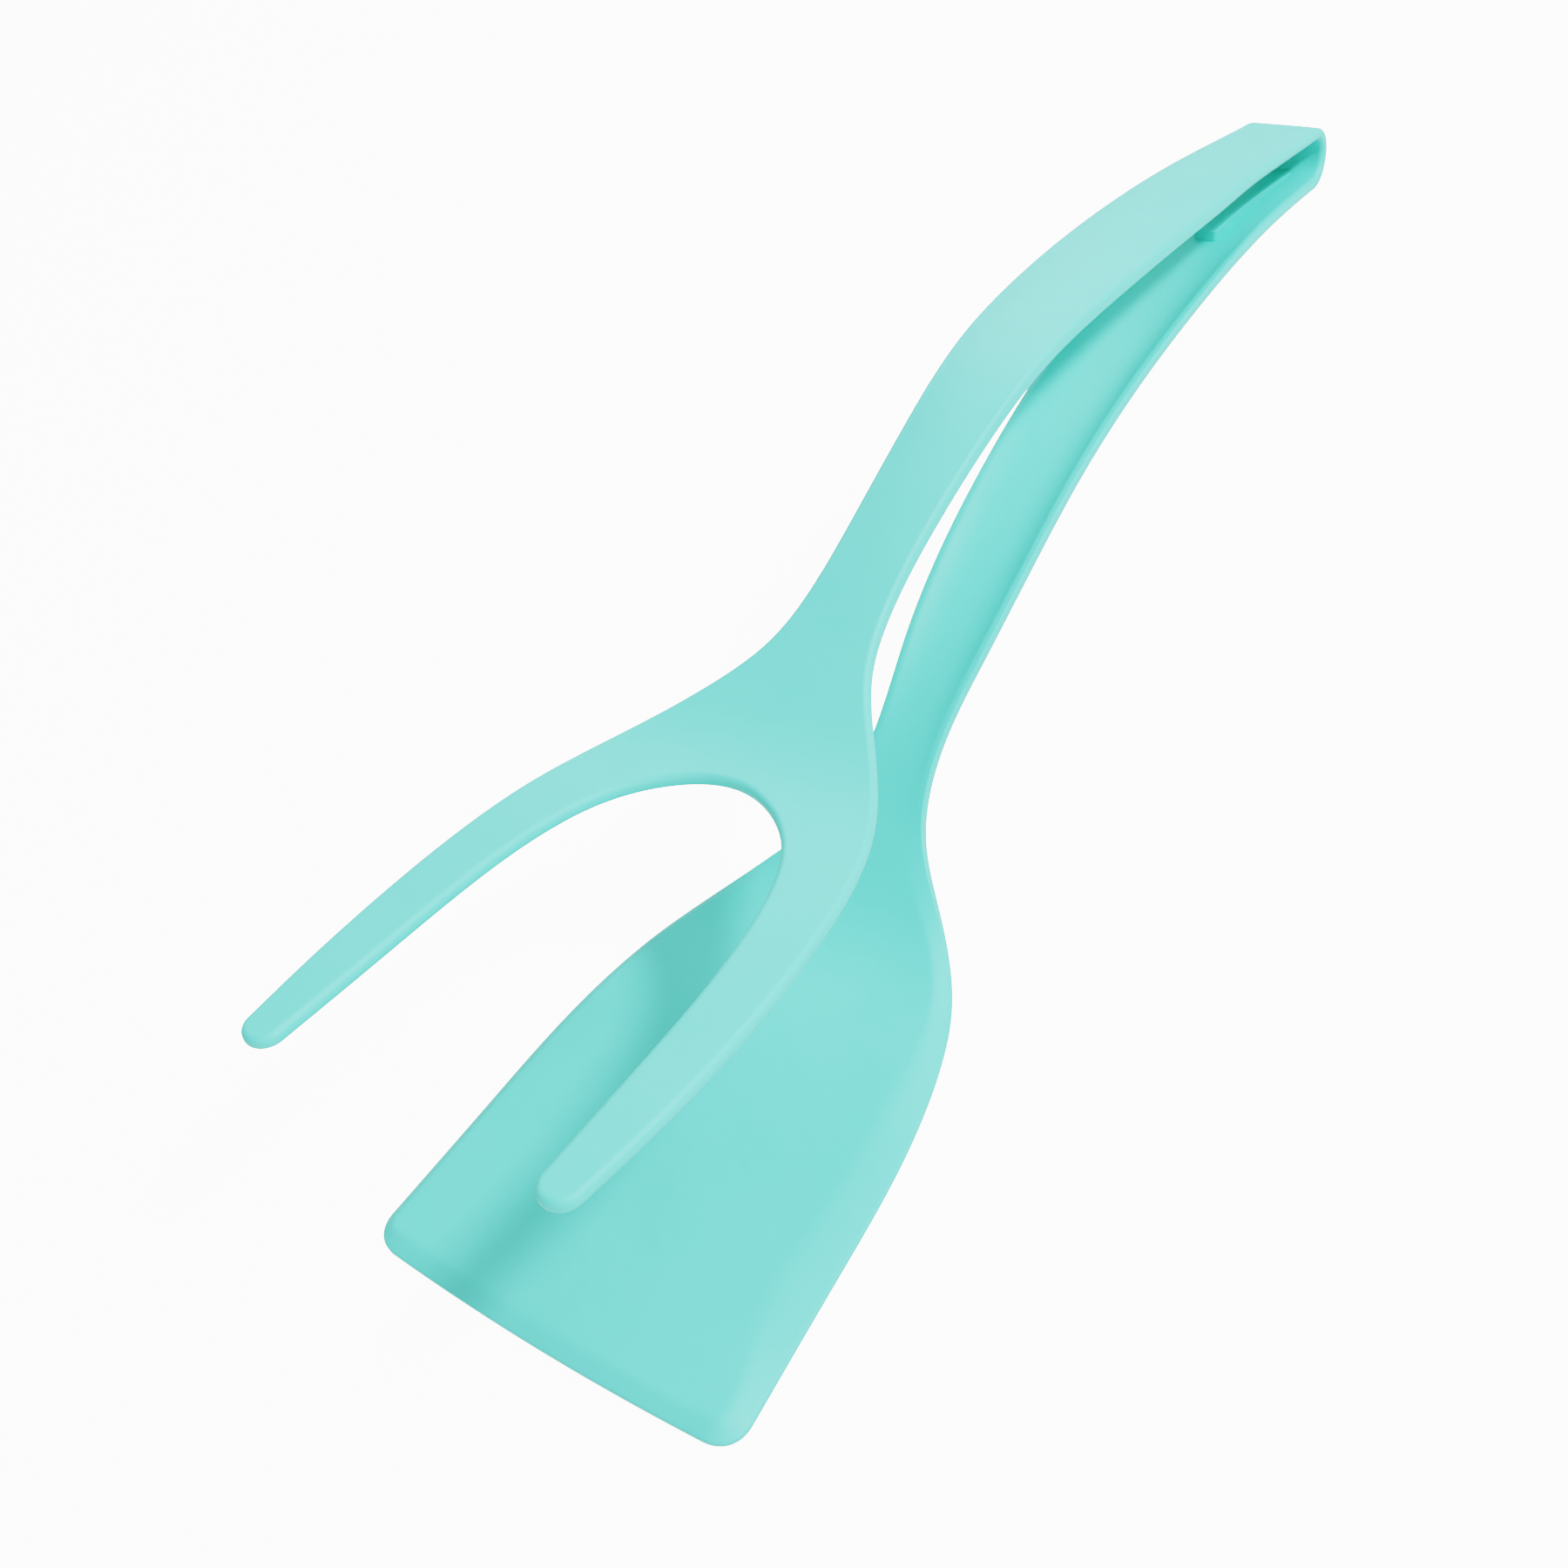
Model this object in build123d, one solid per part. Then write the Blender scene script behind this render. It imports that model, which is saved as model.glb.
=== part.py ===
from build123d import *
import os
from math import atan, cos, radians, sin

import numpy as np

# Two-in-one turning tongs: a flat spatula blade below, a two-pronged fork above, and a
# handle arm behind each.  Both arms meet in a springy U-bend at the tail, and the whole
# is one moulding of one wall thickness.  X runs from the blade's front edge to the tail,
# +Z is up, the blade's flat underside lies on Z = 0 and the tongs are symmetric about Y = 0.

# ---- Driving dimensions, in millimetres and degrees ----
WALL = 2.4              # thickness of the moulding
HALF = WALL / 2

# Blade
BLADE_HALF_WIDTH = 36.8  # at the front corners
CORNER_RADIUS = 5.5     # front corners, in plan
FRONT_BULGE = 0.9       # how far the front edge stands out in its middle
LIP = 0.9               # thickness left at the blade's edge
BEVEL = 3.5             # width of the bevel on the blade's upper side
HEEL_X = 73.0           # where the flat blade ends and the neck starts to rise
NECK_LENGTH = 37.0      # from the heel to the narrowest place of the lower arm

# Tail bend, seen from the side
BEND_X = 273.7          # centre of the bend
BEND_Z = 39.5
BEND_RADIUS = 5.0       # to the middle of the wall
TAIL_SLOPE = 15.0       # both arms run down to the bend at this angle
TAIL_HALF_WIDTH = 8.0

# Fork
TIP_X = 5.5             # centre of the round prong tips
CROTCH_X = 74.8         # bottom of the gap between the prongs
FORK_NECK_LENGTH = 45.2  # from there to the narrowest place of the upper arm

# Cross-sections
EDGE_RADIUS = 0.8       # on the inner edges of the prongs
TROUGH_DEPTH = 1.5      # dish along the lower handle
CROWN_HEIGHT = 0.6      # crown along the upper handle

# Rib on the lower arm, just inside the bend
RIB_LENGTH = 34.0
RIB_WIDTH = 4.8
RIB_CORNER = 0.8        # its corners, in plan
RIB_HEIGHT = 0.7
RIB_TAIL_GAP = 1.0      # from the rib's end to the bend

LOWER_NECK_X = HEEL_X + NECK_LENGTH
FORK_NECK_X = CROTCH_X + FORK_NECK_LENGTH
TAIL_DIR = (cos(radians(TAIL_SLOPE)), -sin(radians(TAIL_SLOPE)))
LOWER_END = (BEND_X + BEND_RADIUS * TAIL_DIR[1], BEND_Z - BEND_RADIUS * TAIL_DIR[0])
UPPER_END = (BEND_X - BEND_RADIUS * TAIL_DIR[1], BEND_Z + BEND_RADIUS * TAIL_DIR[0])


def spread(start, end, *points):
    """Points given by the share of the way from start to end, and by a value there."""
    return [(start + share * (end - start), value) for share, value in points]


# Middle of the wall seen from the side, X and Z
LOWER_LINE = [(HEEL_X, HALF)] + spread(
    HEEL_X, BEND_X, (0.0747, 3.4), (0.1545, 11.7), (0.2441, 22.5), (0.3737, 34.0),
    (0.5331, 42.0), (0.6926, 44.0), (0.857, 41.0)) + [LOWER_END]
UPPER_LINE = spread(0, CROTCH_X, (0.0267, 61.0), (0.4679, 55.3), (0.8289, 50.8)) + spread(
    CROTCH_X, BEND_X, (0.0261, 48.4), (0.1066, 51.2), (0.2172, 57.9), (0.3278, 63.6),
    (0.4284, 66.6), (0.539, 65.3), (0.6898, 60.3), (0.8557, 52.7)) + [UPPER_END]

# Half widths to the outer edge, X and Y.  The blade's own go with its greatest one.
BLADE_WIDTH = spread(0, HEEL_X, (0, 1.0), (0.411, 0.9592), (0.7123, 0.9185), (0.9315, 0.8342))
BLADE_WIDTH += spread(HEEL_X, LOWER_NECK_X, (0.2432, 0.6793), (0.5405, 0.4565), (0.7568, 0.2826))
LOWER_WIDTH = [(x, BLADE_HALF_WIDTH * share) for x, share in BLADE_WIDTH] + spread(
    LOWER_NECK_X, LOWER_END[0], (0, 7.1), (0.1231, 7.8), (0.3386, 9.2), (0.5849, 9.9),
    (0.8005, 9.5), (1, TAIL_HALF_WIDTH))
UPPER_WIDTH = spread(0, CROTCH_X, (0.0267, 30.0), (0.2005, 31.3), (0.4278, 32.0),
                     (0.6684, 31.1), (0.8824, 28.2))
UPPER_WIDTH += spread(CROTCH_X, FORK_NECK_X, (0.0929, 23.0), (0.3363, 15.9), (0.5354, 10.3),
                      (0.7788, 7.5))
UPPER_WIDTH += spread(FORK_NECK_X, UPPER_END[0], (0.0323, 7.0), (0.2258, 8.2), (0.4194, 9.6),
                      (0.5807, 10.0), (0.7742, 9.4), (1, TAIL_HALF_WIDTH))
GAP_EDGE = spread(0, CROTCH_X, (0, 24.0), (0.2941, 23.2), (0.5615, 22.1), (0.7487, 19.6),
                  (0.8957, 14.4))


def smooth(points, slopes=(None, None)):
    """Cubic spline through the points, with natural ends or with the given end slopes."""
    x, y = np.array(points, float).T
    step, rise = np.diff(x), np.diff(y)
    n = len(x)
    matrix, right = np.zeros((n, n)), np.zeros(n)
    for i in range(1, n - 1):
        matrix[i, i - 1:i + 2] = step[i], 2 * (step[i - 1] + step[i]), step[i - 1]
        right[i] = 3 * (rise[i - 1] / step[i - 1] * step[i] + rise[i] / step[i] * step[i - 1])
    for row, other, gap, slope in ((0, 1, 0, slopes[0]), (-1, -2, -1, slopes[1])):
        matrix[row, row] = 2 if slope is None else 1
        matrix[row, other] = 1 if slope is None else 0
        right[row] = 3 * rise[gap] / step[gap] if slope is None else slope
    slope_at = np.linalg.solve(matrix, right)

    def value(at):
        i = int(np.clip(np.searchsorted(x, at) - 1, 0, n - 2))
        t, h = (at - x[i]) / step[i], step[i]
        return float((1 + 2 * t) * (1 - t) ** 2 * y[i] + t * t * (3 - 2 * t) * y[i + 1]
                     + h * t * (1 - t) ** 2 * slope_at[i] + h * t * t * (t - 1) * slope_at[i + 1])
    return value


tail_slope = TAIL_DIR[1] / TAIL_DIR[0]
lower_z = smooth(LOWER_LINE, (0, tail_slope))
upper_z = smooth(UPPER_LINE, (None, tail_slope))
lower_width = smooth(LOWER_WIDTH)
upper_width = smooth(UPPER_WIDTH)


def ramp(at, start, end):
    """0 before start, 1 after end, and a smooth step between."""
    t = min(max((at - start) / (end - start), 0), 1)
    return t * t * (3 - 2 * t)


def arch(at, start, full, fade, end):
    """Rises from 0 at start to 1 at full, and falls from fade to 0 at end."""
    return ramp(at, start, full) * (1 - ramp(at, fade, end))


def section(x, z, slope, half_width, dish=0.0, bevel=0.0):
    """Face across an arm, square to its middle line.  A dish sinks the middle (a crown,
    below 0, lifts it); bevel goes from 0, a round edge, to 1, the blade's bevelled edge."""
    tilt = atan(slope)

    def place(across, height):
        return Vector(x - height * sin(tilt), across, z + height * cos(tilt))

    inset = HALF + (BEVEL - HALF) * bevel
    nose = (LIP - HALF) * bevel
    foot = HALF * (1 - bevel) + 0.05 * bevel
    shoulder = half_width - inset / 2 * bevel
    top = HALF + (nose - HALF) / 2 * bevel
    edge = half_width - inset

    def bezier(*points):
        return Edge.make_bezier(*[place(*p) for p in points])

    outline = [
        bezier((-edge, HALF), (0, HALF - 2 * dish), (edge, HALF)),
        bezier((edge, HALF), (shoulder, top), (half_width, nose)),
        bezier((half_width, nose), (half_width, -HALF), (half_width - foot, -HALF)),
        bezier((half_width - foot, -HALF), (0, -HALF - 2 * dish), (foot - half_width, -HALF)),
        bezier((foot - half_width, -HALF), (-half_width, -HALF), (-half_width, nose)),
        bezier((-half_width, nose), (-shoulder, top), (-edge, HALF)),
    ]
    return Wire(outline)


def slope_of(line, x):
    return (line(x + 0.01) - line(x - 0.01)) / 0.02


def arm(line, width, stations, end, dish, bevel=lambda x: 0.0):
    """Solid through sections at the stations, closed on the bend's end plane."""
    wires = [section(x, line(x), slope_of(line, x), width(x), dish(x), bevel(x))
             for x in stations]
    wires.append(section(end[0], end[1], tail_slope, TAIL_HALF_WIDTH))
    return Solid.make_loft(wires)


def lower_dish(x):
    return TROUGH_DEPTH * arch(x, LOWER_NECK_X - 12, LOWER_NECK_X + 40, BEND_X - 58.7, LOWER_END[0])


def upper_dish(x):
    return -CROWN_HEIGHT * arch(x, FORK_NECK_X - 20, FORK_NECK_X + 30, BEND_X - 58.7, UPPER_END[0])


def blade_bevel(x):
    return 1 - ramp(x, HEEL_X, LOWER_NECK_X)


def flat_blade():
    """The flat plate ahead of the heel, with its bevel round the front and the sides."""
    side = Spline(*[(x, lower_width(x)) for x in np.linspace(2 * CORNER_RADIUS, HEEL_X, 5)])
    reach = lower_width(0) - CORNER_RADIUS
    front = ThreePointArc((FRONT_BULGE, -reach), (0, 0), (FRONT_BULGE, reach))
    corner = Spline((FRONT_BULGE, reach), side @ 0, tangents=[front % 1, side % 0])
    outline = [front, corner, side, Line(side @ 1, (HEEL_X, -lower_width(HEEL_X)))]
    outline += [mirror(side, Plane.XZ), mirror(corner, Plane.XZ)]
    plate = extrude(make_face(outline), WALL)
    rim = [e for e in plate.faces().sort_by(Axis.Z)[-1].edges() if e.center().X < HEEL_X - 1]
    return chamfer(rim, WALL - LIP, BEVEL)


def prong_gap():
    """Prism of the open space between the prongs."""
    across = GAP_EDGE + [(CROTCH_X, 0)] + [(x, -y) for x, y in reversed(GAP_EDGE)]
    edge = Spline(*across)
    mouth = Polyline(edge @ 1, (-20, -GAP_EDGE[0][1]), (-20, GAP_EDGE[0][1]), edge @ 0)
    return extrude(make_face([edge, mouth]), 200)


def round_tips(fork):
    """Cuts the square prong ends back to half circles."""
    gap = smooth(GAP_EDGE)
    for side in (1, -1):
        radius = (upper_width(TIP_X) - gap(TIP_X)) / 2
        middle = side * (upper_width(TIP_X) + gap(TIP_X)) / 2
        square = Pos(TIP_X - 10, middle, 0) * Box(20, 4 * radius, 400)
        fork -= square - Pos(TIP_X, middle, 0) * Cylinder(radius, 400)
    return fork


def soften(fork):
    """Rounds the edges that the gap and the tips left sharp."""
    gap_rims = [e for e in fork.edges() if abs(e.center().X - CROTCH_X) < 1]
    return fillet(gap_rims, EDGE_RADIUS)


def ahead_of(x):
    """Space ahead of the upright plane that parts a head from its handle."""
    return Pos(x - 500, 0, 0) * Box(1000, 400, 400)


def build_lower():
    neck = np.linspace(HEEL_X, LOWER_NECK_X, 7)
    handle = LOWER_NECK_X + (BEND_X - LOWER_NECK_X) * np.array(
        [0.05, 0.12, 0.23, 0.37, 0.52, 0.67, 0.825])
    rising = arm(lower_z, lower_width, [*neck, *handle], LOWER_END, lower_dish, blade_bevel)
    blade = flat_blade() + (rising & ahead_of(LOWER_NECK_X))
    return blade, rising - ahead_of(LOWER_NECK_X)


def build_upper():
    prongs = CROTCH_X * np.array([-0.05, 0.16, 0.35, 0.53, 0.72, 0.88])
    neck = np.linspace(CROTCH_X + 1, FORK_NECK_X - 2, 6)
    handle = FORK_NECK_X + (BEND_X - FORK_NECK_X) * np.array([0.06, 0.16, 0.26, 0.38, 0.52, 0.66, 0.83])
    whole = arm(upper_z, upper_width, [*prongs, *neck, *handle], UPPER_END, upper_dish)
    fork = round_tips((whole & ahead_of(FORK_NECK_X)) - prong_gap())
    return soften(fork), whole - ahead_of(FORK_NECK_X)


def build_bend():
    start = Face(section(LOWER_END[0], LOWER_END[1], tail_slope, TAIL_HALF_WIDTH))
    pin = Axis((BEND_X, 0, BEND_Z), (0, -1, 0))
    return revolve(start, pin, 180)


def build_rib(handle):
    """Low rib standing on the lower handle's upper face, with rounded corners."""
    end = LOWER_END[0] - RIB_TAIL_GAP
    xs = np.linspace(end - RIB_LENGTH - 1, end + 1, 6)
    over = Spline(*[(x, 0, lower_z(x) + HALF + RIB_HEIGHT) for x in xs])
    under = Spline(*[(x, 0, lower_z(x)) for x in xs])
    side = make_face([over, Line(over @ 1, under @ 1), under, Line(under @ 0, over @ 0)])
    plan = RectangleRounded(RIB_LENGTH, RIB_WIDTH, RIB_CORNER)
    middle = Pos(end - RIB_LENGTH / 2, 0, 0)
    rib = extrude(side, RIB_WIDTH, both=True) & middle * extrude(plan, 200)
    return rib - handle


def main():
    blade, lower_handle = build_lower()
    fork, upper_handle = build_upper()
    nodes = {
        "spatula_blade": blade,
        "lower_handle": lower_handle,
        "tail_rib": build_rib(lower_handle),
        "spring_bend": build_bend(),
        "upper_handle": upper_handle,
        "fork_prongs": fork,
    }
    os.makedirs("parts", exist_ok=True)
    for name, shape in nodes.items():
        export_step(shape, f"parts/{name}.step")


if __name__ == "__main__":
    main()
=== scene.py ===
from math import cos, pi, radians, sin, sqrt

import bpy
import numpy as np
from bpy.props import FloatProperty, FloatVectorProperty, PointerProperty, StringProperty
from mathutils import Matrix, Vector
from mathutils.geometry import delaunay_2d_cdt


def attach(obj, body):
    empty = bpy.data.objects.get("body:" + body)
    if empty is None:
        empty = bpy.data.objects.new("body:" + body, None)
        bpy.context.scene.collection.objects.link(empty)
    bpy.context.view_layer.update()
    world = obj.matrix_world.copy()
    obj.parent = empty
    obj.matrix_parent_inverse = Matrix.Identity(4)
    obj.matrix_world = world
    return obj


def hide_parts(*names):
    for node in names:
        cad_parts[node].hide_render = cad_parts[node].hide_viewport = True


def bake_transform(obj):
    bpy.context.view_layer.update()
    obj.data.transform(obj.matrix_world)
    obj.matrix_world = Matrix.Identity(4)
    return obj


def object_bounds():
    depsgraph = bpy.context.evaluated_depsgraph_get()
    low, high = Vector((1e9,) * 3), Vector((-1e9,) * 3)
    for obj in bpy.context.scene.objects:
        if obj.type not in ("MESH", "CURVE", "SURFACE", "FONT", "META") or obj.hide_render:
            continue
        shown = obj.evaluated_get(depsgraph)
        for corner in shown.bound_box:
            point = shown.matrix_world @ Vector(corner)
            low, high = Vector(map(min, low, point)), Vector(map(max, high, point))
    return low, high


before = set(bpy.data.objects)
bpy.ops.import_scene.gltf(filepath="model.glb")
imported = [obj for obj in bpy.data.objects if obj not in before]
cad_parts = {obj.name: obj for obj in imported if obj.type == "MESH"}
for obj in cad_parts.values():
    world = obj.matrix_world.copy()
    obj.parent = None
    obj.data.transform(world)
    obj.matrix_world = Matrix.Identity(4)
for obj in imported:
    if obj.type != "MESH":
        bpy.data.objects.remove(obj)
cad_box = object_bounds()

bl_info = {
    "name": "Turning Tongs",
    "version": (1, 0, 0),
    "blender": (4, 5, 0),
    "location": "3D View > Sidebar > Tongs",
    "description": "Builds one-piece turning tongs with a spatula blade, a fork and a springy bend",
    "category": "Add Mesh",
}

MM = 0.001

# The tongs' outlines, in millimetres.  X runs from the blade's front edge to the tail, Z up
# from the blade's flat underside.  They are the frame's own outlines.
WALL = 2.4
HALF = WALL / 2
FRONT_BULGE = 0.9
CORNER_RADIUS = 5.5
HEEL_X = 73.0
TIP_X = 5.5
CROTCH_X = 74.8
BEND_X, BEND_Z, BEND_RADIUS = 273.7, 39.5, 5.0
TAIL_HALF_WIDTH = 8.0
TAIL_DIR = (cos(radians(15)), -sin(radians(15)))
LOWER_END = (BEND_X + BEND_RADIUS * TAIL_DIR[1], BEND_Z - BEND_RADIUS * TAIL_DIR[0])
UPPER_END = (BEND_X - BEND_RADIUS * TAIL_DIR[1], BEND_Z + BEND_RADIUS * TAIL_DIR[0])

# Middle of the wall seen from the side, X and Z
LOWER_LINE = [(HEEL_X, HALF), (88, 3.4), (104, 11.7), (122, 22.5), (148, 34.0),
              (180, 42.0), (212, 44.0), (245, 41.0), LOWER_END]
UPPER_LINE = [(2, 61.0), (35, 55.3), (62, 50.8), (80, 48.4), (96, 51.2), (118, 57.9),
              (140, 63.6), (160, 66.6), (182, 65.3), (212, 60.3), (245, 52.7), UPPER_END]

# Half widths to the outer edge, X and Y
LOWER_WIDTH = [(0, 36.8), (30, 35.3), (52, 33.8), (68, 30.7), (82, 25.0), (93, 16.8),
               (101, 10.4), (110, 7.1), (130, 7.8), (165, 9.2), (205, 9.9), (240, 9.5),
               (LOWER_END[0], TAIL_HALF_WIDTH)]
UPPER_WIDTH = [(2, 30.0), (15, 31.3), (32, 32.0), (50, 31.1), (66, 28.2), (79, 23.0),
               (90, 15.9), (99, 10.3), (110, 7.5), (125, 7.0), (155, 8.2), (185, 9.6),
               (210, 10.0), (240, 9.4), (UPPER_END[0], TAIL_HALF_WIDTH)]
GAP_EDGE = [(0, 24.0), (22, 23.2), (42, 22.1), (56, 19.6), (67, 14.4)]

RIB_START_X, RIB_END_X, RIB_WIDTH, RIB_CORNER = 237.6, 274.0, 4.8, 0.8

# Stretches along X over which one shape gives way to the next
BLADE_FADE = (78, 108)      # the blade's bevel and thin lip run out
NEAR_BEVEL_FADE = (45, 95)  # the blade's side bevels narrow towards the neck
CORNER_FADE = (6, 24)       # they are also held narrow at the front corners
TROUGH_SPAN = (98, 150, 215, LOWER_END[0])  # rises, full, fades, ends
CROWN_SPAN = (100, 150, 215, UPPER_END[0])
FORK_HANDLE_SPAN = (90, 130)  # the upper arm's inner rims sharpen
TAIL_SPAN = (222, 246)      # the inner rims round off again

NECK_BEVEL = 2.2            # width of the side bevels where they reach the neck
PLAIN_REACH = 4.2           # depth of the regular rows inside an edge
FLAT_REACH = 0.8            # the same on the fork, beyond its rim, and what its handle adds
HANDLE_REACH = 2.2
TROUGH_FULLNESS = 2.5       # power of the dish across: 2 is round, more is flatter


# ---- Curves ----

def smooth(points, slopes=(None, None)):
    """Cubic spline through the points, with natural ends or with the given end slopes."""
    x, y = np.array(points, float).T
    step, rise = np.diff(x), np.diff(y)
    n = len(x)
    matrix, right = np.zeros((n, n)), np.zeros(n)
    for i in range(1, n - 1):
        matrix[i, i - 1:i + 2] = step[i], 2 * (step[i - 1] + step[i]), step[i - 1]
        right[i] = 3 * (rise[i - 1] / step[i - 1] * step[i] + rise[i] / step[i] * step[i - 1])
    for row, other, gap, slope in ((0, 1, 0, slopes[0]), (-1, -2, -1, slopes[1])):
        matrix[row, row] = 2 if slope is None else 1
        matrix[row, other] = 1 if slope is None else 0
        right[row] = 3 * rise[gap] / step[gap] if slope is None else slope
    slope_at = np.linalg.solve(matrix, right)

    def value(at):
        at = np.asarray(at, float)
        i = np.clip(np.searchsorted(x, at) - 1, 0, n - 2)
        t, h = (at - x[i]) / step[i], step[i]
        return ((1 + 2 * t) * (1 - t) ** 2 * y[i] + t * t * (3 - 2 * t) * y[i + 1]
                + h * t * (1 - t) ** 2 * slope_at[i] + h * t * t * (t - 1) * slope_at[i + 1])
    return value


def ramp(at, start, end):
    """0 before start, 1 after end, and a smooth step between."""
    t = np.clip((np.asarray(at, float) - start) / (end - start), 0, 1)
    return t * t * (3 - 2 * t)


def arch(at, start, full, fade, end):
    """Rises from 0 at start to 1 at full, and falls from fade to 0 at end."""
    return ramp(at, start, full) * (1 - ramp(at, fade, end))


tail_slope = TAIL_DIR[1] / TAIL_DIR[0]
upper_z = smooth(UPPER_LINE, (None, tail_slope))
rising_z = smooth(LOWER_LINE, (0, tail_slope))
lower_width = smooth(LOWER_WIDTH)
upper_width = smooth(UPPER_WIDTH)


def lower_z(x):
    return np.where(np.asarray(x) < HEEL_X, HALF, rising_z(np.maximum(x, HEEL_X)))


def even(points, spacing):
    """The polyline's points, respaced evenly along its length and keeping both ends."""
    points = np.array(points, float)
    along = np.r_[0, np.cumsum(np.linalg.norm(np.diff(points, axis=0), axis=1))]
    at = np.linspace(0, along[-1], max(2, int(np.ceil(along[-1] / spacing)) + 1))
    return np.c_[np.interp(at, along, points[:, 0]), np.interp(at, along, points[:, 1])]


def around(centre, radius, start, end, steps=24):
    """Points on an arc, with angles in degrees."""
    turn = np.radians(np.linspace(start, end, steps))
    return np.c_[centre[0] + radius * np.cos(turn), centre[1] + radius * np.sin(turn)]


def mirrored(half):
    """A half outline that ends at or near the middle plane, followed by its mirror image."""
    back = half[::-1] * (1, -1)
    return np.vstack([half, back[1:] if abs(half[-1, 1]) < 1e-6 else back])


# ---- Outlines in plan, from the tail's +Y side round the front to its -Y side ----

def bezier(p0, p1, p2, p3, steps=16):
    t = np.linspace(0, 1, steps)[:, None]
    p0, p1, p2, p3 = (np.array(p, float) for p in (p0, p1, p2, p3))
    return (1 - t) ** 3 * p0 + 3 * t * (1 - t) ** 2 * p1 + 3 * t * t * (1 - t) * p2 + t ** 3 * p3


def lower_outline(spacing):
    reach = float(lower_width(0)) - CORNER_RADIUS
    side_x = np.linspace(LOWER_END[0], CORNER_RADIUS + 0.5, 600)
    side = even(np.c_[side_x, lower_width(side_x)], spacing)
    bow = FRONT_BULGE / reach ** 2
    y = np.linspace(reach, 0, 80)
    front = even(np.c_[bow * y ** 2, y], spacing)
    pull = 0.55 * CORNER_RADIUS
    corner = bezier(side[-1], side[-1] - (pull, 0),
                    front[0] + (2 * bow * reach * pull, pull), front[0])
    return mirrored(np.vstack([side, corner[1:-1], front]))


def upper_outline(spacing):
    gap = GAP_EDGE + [(CROTCH_X, 0)] + [(x, -y) for x, y in reversed(GAP_EDGE)]
    knots = np.array(gap, float)
    along = np.r_[0, np.cumsum(np.linalg.norm(np.diff(knots, axis=0), axis=1))]
    to_x, to_y = smooth(np.c_[along, knots[:, 0]]), smooth(np.c_[along, knots[:, 1]])
    at = np.linspace(0, along[len(GAP_EDGE)], 800)
    inner = np.c_[to_x(at), to_y(at)]
    inner = inner[inner[:, 0] > TIP_X]
    inner[-1, 1] = 0
    side_x = np.linspace(UPPER_END[0], TIP_X, 800)
    side = even(np.c_[side_x, upper_width(side_x)], spacing)
    radius = (side[-1, 1] - inner[0, 1]) / 2
    tip = around((TIP_X, side[-1, 1] - radius), radius, 90, 270)
    return mirrored(np.vstack([side, tip[1:-1], even(inner, spacing)]))


# ---- Meshes ----

def place(line, x, y, height):
    """Points at a height off an arm's middle surface, square to it."""
    tilt = np.arctan((line(x + 0.01) - line(x - 0.01)) / 0.02)
    return np.c_[x - height * np.sin(tilt), y, line(x) + height * np.cos(tilt)]


def inward(outline):
    """Unit normals that point into the outline, and along the tail line at its two ends."""
    run = np.gradient(outline, axis=0)
    normal = np.c_[-run[:, 1], run[:, 0]] / np.linalg.norm(run, axis=1)[:, None]
    normal[0], normal[-1] = (0, -1), (0, 1)
    return normal


def inside(points, polygon):
    """Which points lie inside the closed polygon."""
    hit = np.zeros(len(points), bool)
    for (x0, y0), (x1, y1) in zip(polygon, np.roll(polygon, -1, axis=0)):
        if y0 == y1:
            continue
        crosses = (points[:, 1] > y0) != (points[:, 1] > y1)
        at = x0 + (points[:, 1] - y0) / (y1 - y0) * (x1 - x0)
        hit ^= crosses & (points[:, 0] < at)
    return hit


def fill(border, cell):
    """Triangles inside a border: points and faces, with the border's own points first."""
    low, high = border.min(0), border.max(0)
    rows = np.arange(low[1], high[1], cell * 0.866)
    grid = [np.c_[np.arange(low[0] + (k % 2) * cell / 2, high[0], cell)[:, None],
                  np.full((len(np.arange(low[0] + (k % 2) * cell / 2, high[0], cell)), 1), y)]
            for k, y in enumerate(rows)]
    grid = np.vstack(grid)
    grid = grid[inside(grid, border)]
    near = np.array([np.min(np.sum((border - p) ** 2, axis=1)) for p in grid])
    points = np.vstack([border, grid[near > (0.6 * cell) ** 2]])
    count = len(border)
    edges = [(i, (i + 1) % count) for i in range(count)]
    result = delaunay_2d_cdt([Vector(p) for p in points], edges, [], 1, 1e-6)
    if len(result[0]) != len(points):
        raise RuntimeError("the outline crosses itself or has two points in one place")
    return points, [tuple(f) for f in result[2]]


def edge_rows(radius, under, reach, drop, bevel_steps=10, round_steps=6):
    """Rows from reach in from the outline out to it: distance in and fall of the upper side,
    then of the lower side.  radius and under round their rims; over reach the upper side
    also falls away by drop."""
    def bevel(distance):
        # Starts softly and then falls almost straight, like a hand-dressed mould edge.
        soft, out = 0.3, np.clip(1 - distance / reach, 0, 1)
        return drop * (np.sqrt(out ** 2 + soft ** 2) - soft) / (sqrt(1 + soft ** 2) - soft)

    rows = []
    for t in np.linspace(1, 0, bevel_steps, endpoint=False):
        distance = radius + t * (reach - radius)
        rows.append((distance, bevel(distance), under + t * (reach - under), 0 * under))
    for angle in np.linspace(0, pi / 2, round_steps + 1):
        out, down = 1 - sin(angle), 1 - cos(angle)
        rows.append((radius * out, bevel(radius * out) + radius * down, under * out, under * down))
    return rows


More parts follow.
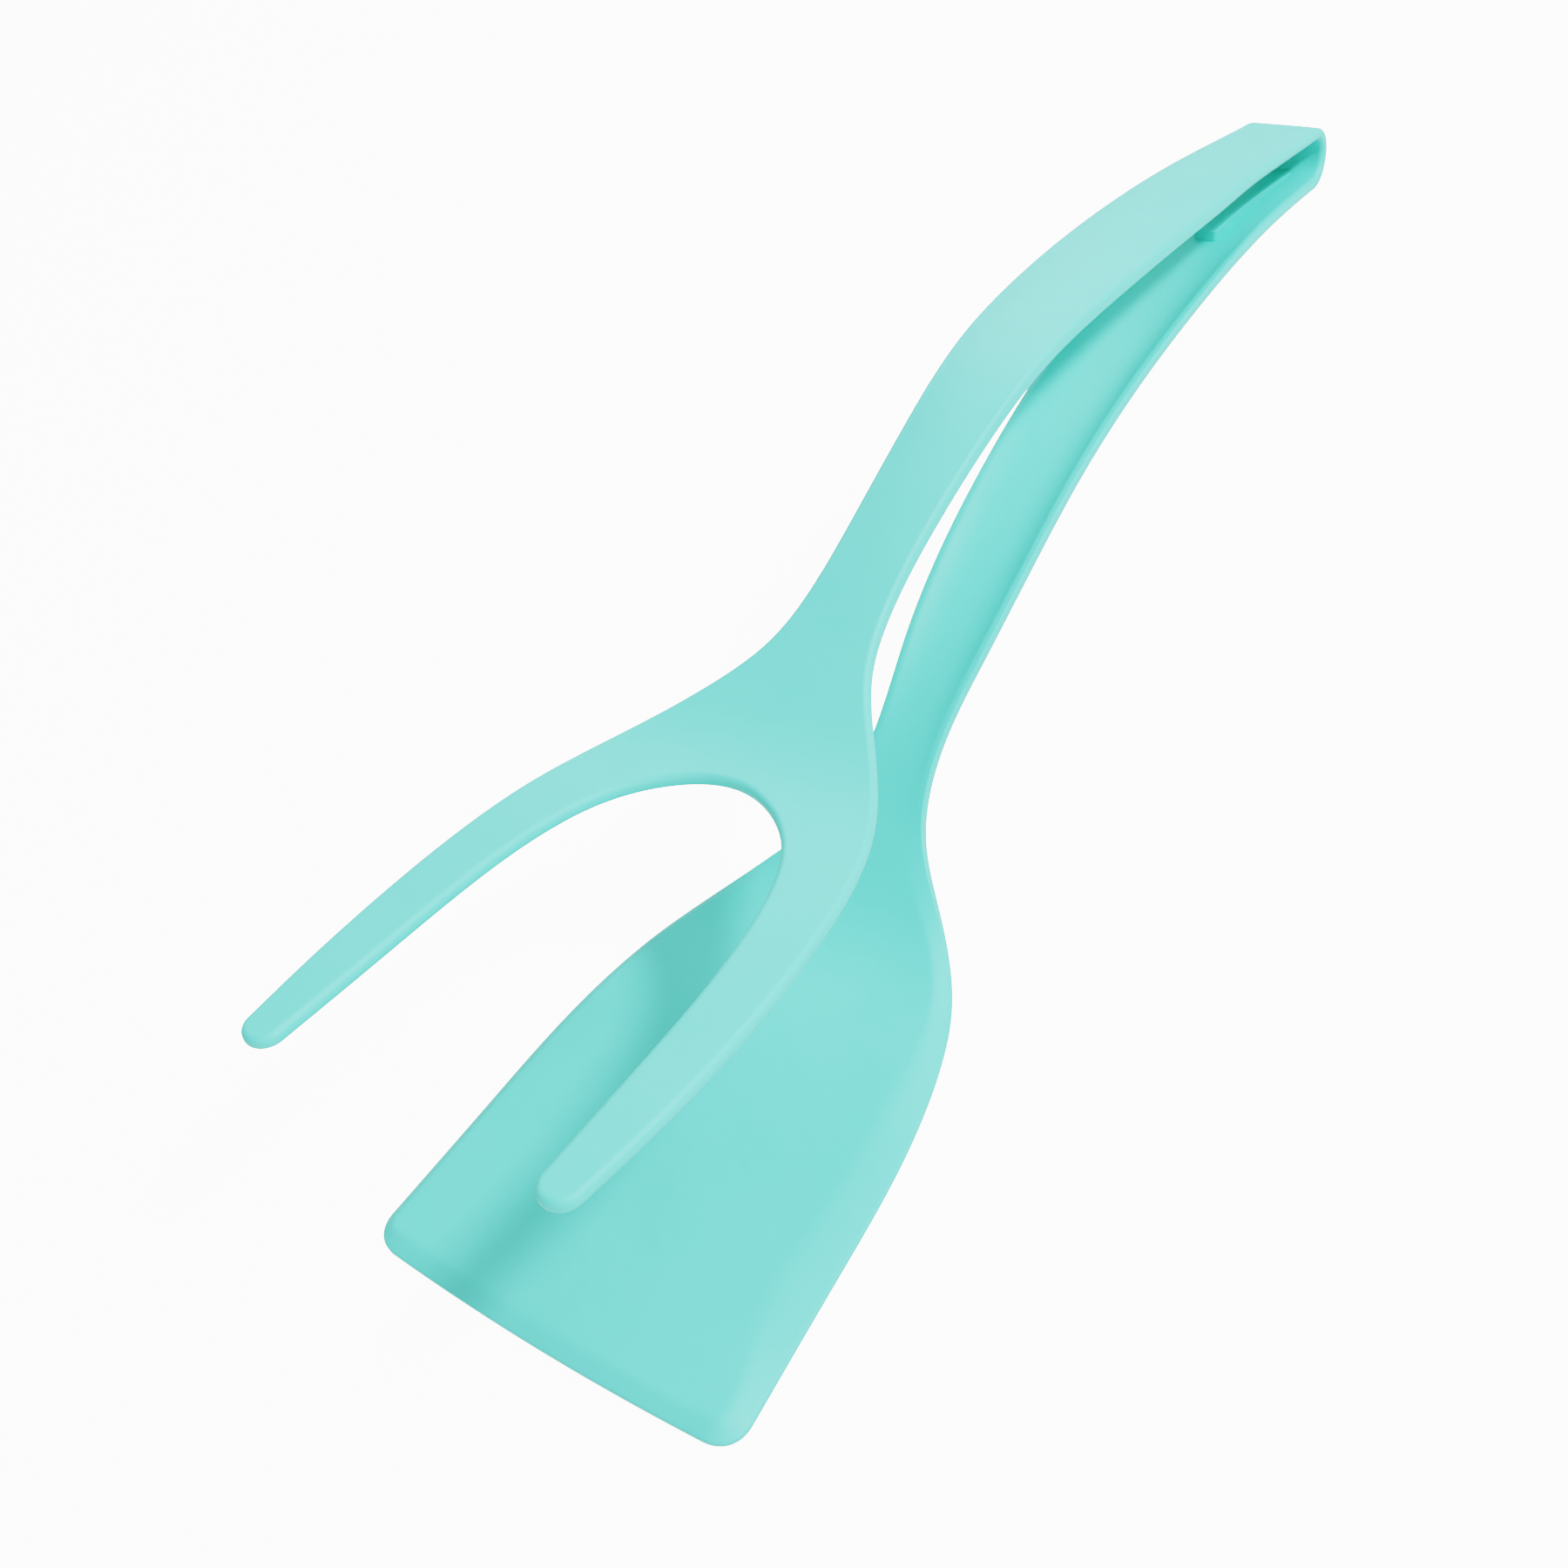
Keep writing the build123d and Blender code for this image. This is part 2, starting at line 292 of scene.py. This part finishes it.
def plate(name, outline, line, rim, lift, cell):
    """Mesh of a moulded arm, open on the tail line where the bend carries on.
    rim gives edge_rows' sizes at the outline's points, and lift gives the dish or crown."""
    normal = inward(outline)
    rows = edge_rows(*rim(outline, normal))
    inner = outline + normal * rows[0][0][:, None]
    across = max(4, int(round(2 * inner[0, 1] / cell)))
    tail = np.c_[np.full(across - 1, outline[0, 0]),
                 np.linspace(inner[-1, 1], inner[0, 1], across + 1)[1:-1]]
    flat, triangles = fill(np.vstack([inner, tail]), cell)
    count = len(outline)
    points, faces = [], []

    def add(plan, height):
        start = sum(len(p) for p in points)
        points.append(place(line, plan[:, 0], plan[:, 1], height + lift(plan)))
        return start

    top = [add(flat, np.full(len(flat), HALF))]
    bottom = [add(flat, np.full(len(flat), -HALF))]
    faces += triangles + [tuple(i + bottom[0] for i in reversed(f)) for f in triangles]
    for distance, fall, distance_under, rise in rows[1:]:
        top.append(add(outline + normal * distance[:, None], HALF - fall))
        bottom.append(add(outline + normal * distance_under[:, None], rise - HALF))
    back = bottom[::-1]
    strips = [*zip(top, top[1:]), (top[-1], back[0]), *zip(back, back[1:])]
    for a, b in strips:
        faces += [(a + i, b + i, b + i + 1, a + i + 1) for i in range(count - 1)]
    return mesh_object(name, np.vstack(points), faces)


def mesh_object(name, points, faces):
    """A smooth-shaded object in the shared frame from points in millimetres."""
    mesh = bpy.data.meshes.new(name)
    mesh.from_pydata((points * MM).tolist(), [], faces)
    mesh.validate()
    mesh.shade_smooth()
    made = bpy.data.objects.new(name, mesh)
    bpy.context.collection.objects.link(made)
    return made


# ---- Materials ----

def linear(code):
    """Linear RGBA from an sRGB hex value."""
    parts = [int(code.lstrip("#")[i:i + 2], 16) / 255 for i in (0, 2, 4)]
    return tuple(c / 12.92 if c <= 0.04045 else ((c + 0.055) / 1.055) ** 2.4 for c in parts) + (1,)


def node(tree, kind, settings=None, **links):
    """Adds a node with its settings, and links or sets its inputs by name."""
    made = tree.nodes.new(kind)
    for key, value in (settings or {}).items():
        setattr(made, key, value)
    for key, value in links.items():
        socket = made.inputs[key.replace("_", " ")]
        if isinstance(value, bpy.types.NodeSocket):
            tree.links.new(value, socket)
        else:
            socket.default_value = value
    return made


def moulded_nylon(finish):
    """Mint nylon from a spark-eroded mould: satin, with a fine even grain that only breaks
    up the highlights, and a colour that is the same right through."""
    material = bpy.data.materials.get("Mint moulded nylon")
    if material:
        return material
    material = bpy.data.materials.new("Mint moulded nylon")
    material.use_nodes = True
    tree = material.node_tree
    tree.nodes.clear()
    where = node(tree, "ShaderNodeTexCoord").outputs["Object"]
    # The real grain is about 0.1 mm; drawn at 0.5 mm so that it still shows.
    grain = node(tree, "ShaderNodeTexNoise", Vector=where, Scale=1 / (0.5 * MM), Detail=2.0)
    # Pigment never mixes quite evenly: soft clouds about 12 mm across, barely visible.
    cloud = node(tree, "ShaderNodeTexNoise", Vector=where, Scale=1 / (12 * MM), Detail=2.0)
    deep, pale = linear(finish.deep_colour), linear(finish.pale_colour)
    colour = node(tree, "ShaderNodeMix", {"data_type": "RGBA"})
    tree.links.new(cloud.outputs["Fac"], colour.inputs["Factor"])
    for socket in colour.inputs:
        if socket.type == "RGBA":
            socket.default_value = deep if socket.name == "A" else pale
    rough = node(tree, "ShaderNodeMapRange", Value=grain.outputs["Fac"])
    rough.inputs["To Min"].default_value = finish.roughness - 0.04
    rough.inputs["To Max"].default_value = finish.roughness + 0.04
    bump = node(tree, "ShaderNodeBump", Height=grain.outputs["Fac"],
                Strength=finish.grain_strength, Distance=finish.grain_height)
    shader = node(tree, "ShaderNodeBsdfPrincipled", Normal=bump.outputs["Normal"],
                  Roughness=rough.outputs["Result"], IOR=1.53, Specular_IOR_Level=0.35)
    tree.links.new(colour.outputs[2], shader.inputs["Base Color"])
    out = node(tree, "ShaderNodeOutputMaterial")
    tree.links.new(shader.outputs["BSDF"], out.inputs["Surface"])
    return material


def painted(name, colour, rough):
    """Plain matt studio surface."""
    material = bpy.data.materials.new(name)
    material.use_nodes = True
    shader = material.node_tree.nodes["Principled BSDF"]
    shader.inputs["Base Color"].default_value = colour
    shader.inputs["Roughness"].default_value = rough
    return material


def softbox(name, aim, towards, distance, size, power):
    """Round soft light that shines on the aim from the direction given."""
    lamp = bpy.data.lights.new(name, "AREA")
    lamp.shape, lamp.size, lamp.energy = "DISK", size, power
    light = bpy.data.objects.new(name, lamp)
    light.location = aim + towards.normalized() * distance
    light.rotation_euler = towards.to_track_quat("Z", "Y").to_euler()
    bpy.context.collection.objects.link(light)


# ---- Settings that a user may change ----

class TongsSizes(bpy.types.PropertyGroup):
    cell: FloatProperty(
        name="Mesh Cell", description="Size of the cells on the broad faces, in millimetres",
        default=1.1, min=0.5, max=5)
    rim_radius: FloatProperty(
        name="Rim Radius", description="Rounding of the handles' and prongs' rims",
        default=0.00095, min=0.0002, max=0.0011, unit="LENGTH", subtype="DISTANCE")
    inner_radius: FloatProperty(
        name="Inner Radius", description="Rounding of the rims that face the other arm",
        default=0.00035, min=0.0002, max=0.0011, unit="LENGTH", subtype="DISTANCE")
    lip_radius: FloatProperty(
        name="Lip Radius", description="Rounding of the blade's thin lip",
        default=0.00025, min=0.0001, max=0.0004, unit="LENGTH", subtype="DISTANCE")
    lip: FloatProperty(
        name="Lip", description="Thickness left at the blade's edge",
        default=0.0009, min=0.0006, max=0.0024, unit="LENGTH", subtype="DISTANCE")
    front_bevel: FloatProperty(
        name="Front Bevel", description="Width of the bevel along the blade's front edge",
        default=0.0035, min=0.001, max=0.008, unit="LENGTH", subtype="DISTANCE")
    side_bevel: FloatProperty(
        name="Side Bevel", description="Width of the soft bevel along the blade's near side",
        default=0.0075, min=0.001, max=0.01, unit="LENGTH", subtype="DISTANCE")
    far_bevel: FloatProperty(
        name="Far Bevel", description="Width of the bevel along the blade's far side",
        default=0.0022, min=0.001, max=0.01, unit="LENGTH", subtype="DISTANCE")
    trough: FloatProperty(
        name="Trough", description="Depth of the dish along the lower handle",
        default=0.0023, min=0, max=0.003, unit="LENGTH", subtype="DISTANCE")
    crown: FloatProperty(
        name="Crown", description="Height of the crown along the upper handle",
        default=0.0006, min=0, max=0.002, unit="LENGTH", subtype="DISTANCE")
    tail_radius: FloatProperty(
        name="Tail Radius", description="Rounding of the rims inside the tail and the bend",
        default=0.0013, min=0.0002, max=0.0014, unit="LENGTH", subtype="DISTANCE")
    rib_height: FloatProperty(
        name="Rib Height", description="Height of the tail rib over the handle's rims",
        default=0.0007, min=0.0005, max=0.002, unit="LENGTH", subtype="DISTANCE")


class TongsFinish(bpy.types.PropertyGroup):
    deep_colour: StringProperty(
        name="Deep Colour", description="Darker pigment tone as an sRGB hex value",
        default="#66cbc0")
    pale_colour: StringProperty(
        name="Pale Colour", description="Paler pigment tone as an sRGB hex value",
        default="#6bcec4")
    roughness: FloatProperty(
        name="Roughness", description="Average surface roughness", default=0.55, min=0, max=1,
        subtype="FACTOR")
    grain_strength: FloatProperty(
        name="Grain Strength", description="How strongly the moulded grain shows",
        default=0.5, min=0, max=1, subtype="FACTOR")
    grain_height: FloatProperty(
        name="Grain Height", description="Height of the moulded grain",
        default=0.00003, min=0, max=0.0005, unit="LENGTH", subtype="DISTANCE")


class TongsStage(bpy.types.PropertyGroup):
    floor_colour: StringProperty(
        name="Floor Colour", description="Studio floor as an sRGB hex value",
        default="#f4f4f2")
    floor_glow: FloatProperty(
        name="Floor Glow", description="Light that the floor gives off, as a light table does",
        default=4.0, min=0)
    camera_place: FloatVectorProperty(
        name="Camera Place", description="Where the camera stands",
        default=(-0.04584, -0.14384, 0.2332), unit="LENGTH", subtype="TRANSLATION")
    camera_turn: FloatVectorProperty(
        name="Camera Turn", description="The camera's rotation",
        default=(radians(43.437), radians(13.294), radians(-55.835)), subtype="EULER")
    lens: FloatProperty(
        name="Lens", description="Focal length in millimetres on a 36 mm sensor", default=40.17,
        min=10, max=200)
    key_power: FloatProperty(
        name="Key Power", description="Power of the soft key light in watts", default=9.7, min=0,
        unit="POWER")
    fill_power: FloatProperty(
        name="Fill Power", description="Power of the broad side fill; the other fills follow it",
        default=2.9, min=0, unit="POWER")
    sky: FloatProperty(
        name="Sky", description="Strength of the white surround above the table", default=0.36,
        min=0)
    bounce: FloatProperty(
        name="Bounce", description="Strength of the light that comes up from the table",
        default=1.2, min=0)


# ---- Operators ----

def dress(piece, finish):
    piece.data.materials.append(moulded_nylon(finish))


class TONGS_OT_spatula_arm(bpy.types.Operator):
    """Builds the spatula blade with its neck and the dished lower handle"""
    bl_idname = "tongs.spatula_arm"
    bl_label = "Spatula Arm"

    def execute(self, context):
        sizes, finish = context.scene.tongs_sizes, context.scene.tongs_finish

        def rim(outline, normal):
            x, y = outline.T
            blade = 1 - ramp(x, *BLADE_FADE)
            near = np.where(y < 0, sizes.side_bevel / MM, sizes.far_bevel / MM)
            side = NECK_BEVEL + (near - NECK_BEVEL) * (1 - ramp(x, *NEAR_BEVEL_FADE))
            held = np.minimum(side, PLAIN_REACH)
            side = side + (held - side) * (1 - ramp(x, *CORNER_FADE))
            front = np.clip(np.abs(normal[:, 0]), 0, 1) ** 2 * (x < 20)
            width = side + (sizes.front_bevel / MM - side) * front
            lip = sizes.lip / MM - 0.3 * (y < 0) * (1 - front)
            radius = sizes.inner_radius + (sizes.lip_radius - sizes.inner_radius) * blade
            radius = radius + (sizes.tail_radius - sizes.inner_radius) * ramp(x, *TAIL_SPAN)
            under = sizes.rim_radius + (sizes.lip_radius - sizes.rim_radius) * blade
            radius, under = radius / MM, under / MM
            reach = PLAIN_REACH + (width - PLAIN_REACH) * blade
            return radius, under, reach, (WALL - lip - radius) * blade

        def lift(plan):
            edge = np.maximum(lower_width(plan[:, 0]) - HALF, 1)
            dish = np.clip(1 - np.abs(plan[:, 1] / edge) ** TROUGH_FULLNESS, 0, 1)
            return -sizes.trough / MM * arch(plan[:, 0], *TROUGH_SPAN) * dish

        piece = plate("spatula_arm", lower_outline(1.0), lower_z, rim, lift, sizes.cell)
        dress(piece, finish)
        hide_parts("spatula_blade", "lower_handle")
        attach(piece, "spatula_arm")
        return {"FINISHED"}


class TONGS_OT_fork_arm(bpy.types.Operator):
    """Builds the two-pronged fork with its neck and the crowned upper handle"""
    bl_idname = "tongs.fork_arm"
    bl_label = "Fork Arm"

    def execute(self, context):
        sizes, finish = context.scene.tongs_sizes, context.scene.tongs_finish

        def rim(outline, normal):
            x = outline[:, 0]
            handle, tail = ramp(x, *FORK_HANDLE_SPAN), ramp(x, *TAIL_SPAN)
            radius = np.full(len(outline), sizes.rim_radius / MM)
            under = radius + (sizes.inner_radius / MM - radius) * handle
            under = under + (sizes.tail_radius - sizes.inner_radius) / MM * tail
            return radius, under, radius + FLAT_REACH + HANDLE_REACH * handle, 0 * radius

        def lift(plan):
            edge = np.maximum(upper_width(plan[:, 0]) - HALF, 1)
            crown = np.clip(1 - (plan[:, 1] / edge) ** 2, 0, 1)
            return sizes.crown / MM * arch(plan[:, 0], *CROWN_SPAN) * crown

        piece = plate("fork_arm", upper_outline(1.0), upper_z, rim, lift, sizes.cell)
        dress(piece, finish)
        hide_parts("fork_prongs", "upper_handle")
        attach(piece, "fork_arm")
        return {"FINISHED"}


class TONGS_OT_spring_bend(bpy.types.Operator):
    """Builds the springy U-bend that joins both arms"""
    bl_idname = "tongs.spring_bend"
    bl_label = "Spring Bend"

    def execute(self, context):
        sizes, finish = context.scene.tongs_sizes, context.scene.tongs_finish
        rows = edge_rows(sizes.tail_radius / MM, sizes.rim_radius / MM, PLAIN_REACH, 0)
        flat = TAIL_HALF_WIDTH - rows[0][0]
        across = max(4, int(round(2 * flat / sizes.cell)))
        inside_rim = [(TAIL_HALF_WIDTH - row[0], HALF - row[1]) for row in rows]
        outside_rim = [(TAIL_HALF_WIDTH - row[2], row[3] - HALF) for row in reversed(rows)]
        loop = [(y, HALF) for y in np.linspace(-flat, flat, across + 1)[1:-1]]
        loop += inside_rim + outside_rim
        loop += [(y, -HALF) for y in np.linspace(flat, -flat, across + 1)[1:-1]]
        loop += [(-y, h) for y, h in reversed(outside_rim)]
        loop += [(-y, h) for y, h in reversed(inside_rim)]
        y, height = np.array(loop).T
        turns = np.radians(np.r_[0, 0.3, np.arange(4, 177, 4), 179.7, 180])
        points = []
        for turn in turns:
            # Towards its middle the bend is crowned across, so its corners look soft.
            crown = 0.4 * sin(turn) * (y / TAIL_HALF_WIDTH) ** 4
            reach = BEND_RADIUS - height - crown
            along = TAIL_DIR[0] * sin(turn) + TAIL_DIR[1] * cos(turn)
            up = TAIL_DIR[1] * sin(turn) - TAIL_DIR[0] * cos(turn)
            narrow = 1 - 0.02 * sin(turn) ** 2
            points.append(np.c_[BEND_X + reach * along, y * narrow, BEND_Z + reach * up])
        n = len(loop)
        faces = [(k * n + i, (k + 1) * n + i, (k + 1) * n + (i + 1) % n, k * n + (i + 1) % n)
                 for k in range(len(turns) - 1) for i in range(n)]
        piece = mesh_object("spring_bend_skin", np.vstack(points), faces)
        dress(piece, finish)
        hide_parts("spring_bend")
        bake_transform(piece)
        return {"FINISHED"}


class TONGS_OT_tail_rib(bpy.types.Operator):
    """Builds the low rib that stands on the lower arm just inside the bend"""
    bl_idname = "tongs.tail_rib"
    bl_label = "Tail Rib"

    def execute(self, context):
        sizes, finish = context.scene.tongs_sizes, context.scene.tongs_finish
        top, half = HALF + sizes.rib_height / MM, RIB_WIDTH / 2 - RIB_CORNER
        start, end = RIB_START_X + RIB_CORNER, RIB_END_X - RIB_CORNER
        # Corner centres joined along the sides, each point with the way out from it.
        spine = np.linspace(start, end, 24)[1:-1]
        ring = []
        for corner_x, corner_y, first in ((end, -half, -90), (end, half, 0),
                                          (start, half, 90), (start, -half, 180)):
            ring += [(corner_x, corner_y, cos(radians(first + a)), sin(radians(first + a)))
                     for a in range(0, 91, 15)]
            if first == 0:
                ring += [(x, half, 0, 1) for x in spine[::-1]]
        ring += [(x, -half, 0, -1) for x in spine]
        ring = np.array(ring)
        # Way out from the corner centres and fall: round rim, drafted side, sunken foot.
        rim = 0.4
        brow = RIB_CORNER - rim - 0.05
        profile = [(brow + rim * sin(a), rim * (1 - cos(a)))
                   for a in np.radians(range(0, 91, 15))]
        profile += [(RIB_CORNER - 0.03, 1.2), (RIB_CORNER, 1.7), (RIB_CORNER + 0.2, 3.0)]
        points = []
        for out, fall in profile:
            x, y = ring[:, 0] + out * ring[:, 2], ring[:, 1] + out * ring[:, 3]
            points.append(place(lower_z, x, y, np.full(len(x), top - fall)))
        n = len(ring)
        faces = [(k * n + i, (k + 1) * n + i, (k + 1) * n + (i + 1) % n, k * n + (i + 1) % n)
                 for k in range(len(profile) - 1) for i in range(n)]
        # Flat top and foot: the ring's points paired with those across the rib.
        first, last, foot = 7, 42, (len(profile) - 1) * n
        for i in range(first, last):
            faces.append((i, i + 1, (12 - i) % n, (13 - i) % n))
            faces.append(tuple(foot + j for j in ((13 - i) % n, (12 - i) % n, i + 1, i)))
        piece = mesh_object("tail_rib_skin", np.vstack(points), faces)
        dress(piece, finish)
        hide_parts("tail_rib")
        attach(piece, "spatula_arm")
        return {"FINISHED"}


class TONGS_OT_stage(bpy.types.Operator):
    """Sets the floor, the lights and the camera"""
    bl_idname = "tongs.stage"
    bl_label = "Stage"

    def execute(self, context):
        stage = context.scene.tongs_stage
        low = cad_box[0][2]
        mesh = bpy.data.meshes.new("floor")
        corners = [(-3, -3, low), (3, -3, low), (3, 3, low), (-3, 3, low)]
        mesh.from_pydata(corners, [], [(0, 1, 2, 3)])
        floor = bpy.data.objects.new("floor", mesh)
        card = painted("Matt white card", linear(stage.floor_colour), 0.9)
        glow = card.node_tree.nodes["Principled BSDF"]
        glow.inputs["Emission Color"].default_value = (1, 1, 1, 1)
        glow.inputs["Emission Strength"].default_value = stage.floor_glow
        mesh.materials.append(card)
        bpy.context.collection.objects.link(floor)
        floor.visible_diffuse = floor.visible_glossy = False

        world = bpy.data.worlds.new("White surround")
        world.use_nodes = True
        # The table's bounce comes from the lower half of the surround, because the card
        # itself glows too strongly to light the plastic.
        tree = world.node_tree
        where = node(tree, "ShaderNodeTexCoord").outputs["Generated"]
        height = node(tree, "ShaderNodeSeparateXYZ", Vector=where).outputs["Z"]
        strength = node(tree, "ShaderNodeMapRange", Value=height, From_Min=-0.1, From_Max=0.05,
                        To_Min=stage.bounce, To_Max=stage.sky)
        background = tree.nodes["Background"]
        background.inputs["Color"].default_value = (1, 1, 1, 1)
        tree.links.new(strength.outputs["Result"], background.inputs["Strength"])
        bpy.context.scene.world = world

        middle = Vector((0.12, 0, 0.03))
        fill = stage.fill_power
        for name, towards, distance, size, power in (
                ("key", (0.12, -0.77, 1.0), 1.2, 0.16, stage.key_power),
                ("side fill", (0.5, -0.5, 0.7), 0.9, 0.6, fill),
                ("back fill", (0.7, 0.4, 0.6), 0.9, 0.6, 1.05 * fill),
                ("front fill", (-0.8, -0.4, 0.5), 0.9, 0.6, 0.7 * fill)):
            softbox(name, middle, Vector(towards), distance, size, power)
        bpy.context.scene.view_settings.view_transform = "Filmic"
        bpy.context.scene.view_settings.look = "Very High Contrast"

        view = bpy.data.cameras.new("camera")
        view.lens, view.sensor_width = stage.lens, 36
        view.clip_start = 0.01
        camera = bpy.data.objects.new("camera", view)
        camera.location, camera.rotation_euler = stage.camera_place, stage.camera_turn
        bpy.context.collection.objects.link(camera)
        bpy.context.scene.camera = camera
        return {"FINISHED"}


class TONGS_PT_panel(bpy.types.Panel):
    bl_idname = "TONGS_PT_panel"
    bl_label = "Turning Tongs"
    bl_space_type = "VIEW_3D"
    bl_region_type = "UI"
    bl_category = "Tongs"

    def draw(self, context):
        scene = context.scene
        for group in (scene.tongs_sizes, scene.tongs_finish, scene.tongs_stage):
            for key in group.bl_rna.properties.keys():
                if key not in ("rna_type", "name"):
                    self.layout.prop(group, key)
        for operator in OPERATORS:
            self.layout.operator(operator.bl_idname)


OPERATORS = (TONGS_OT_spatula_arm, TONGS_OT_fork_arm, TONGS_OT_spring_bend, TONGS_OT_tail_rib,
             TONGS_OT_stage)
CLASSES = (TongsSizes, TongsFinish, TongsStage, *OPERATORS, TONGS_PT_panel)


def register():
    for kind in CLASSES:
        bpy.utils.register_class(kind)
    bpy.types.Scene.tongs_sizes = PointerProperty(type=TongsSizes)
    bpy.types.Scene.tongs_finish = PointerProperty(type=TongsFinish)
    bpy.types.Scene.tongs_stage = PointerProperty(type=TongsStage)


def unregister():
    del bpy.types.Scene.tongs_stage
    del bpy.types.Scene.tongs_finish
    del bpy.types.Scene.tongs_sizes
    for kind in reversed(CLASSES):
        bpy.utils.unregister_class(kind)


def main():
    register()
    bpy.ops.tongs.spatula_arm()
    bpy.ops.tongs.fork_arm()
    bpy.ops.tongs.spring_bend()
    bpy.ops.tongs.tail_rib()
    bpy.ops.tongs.stage()


if __name__ == "__main__":
    main()
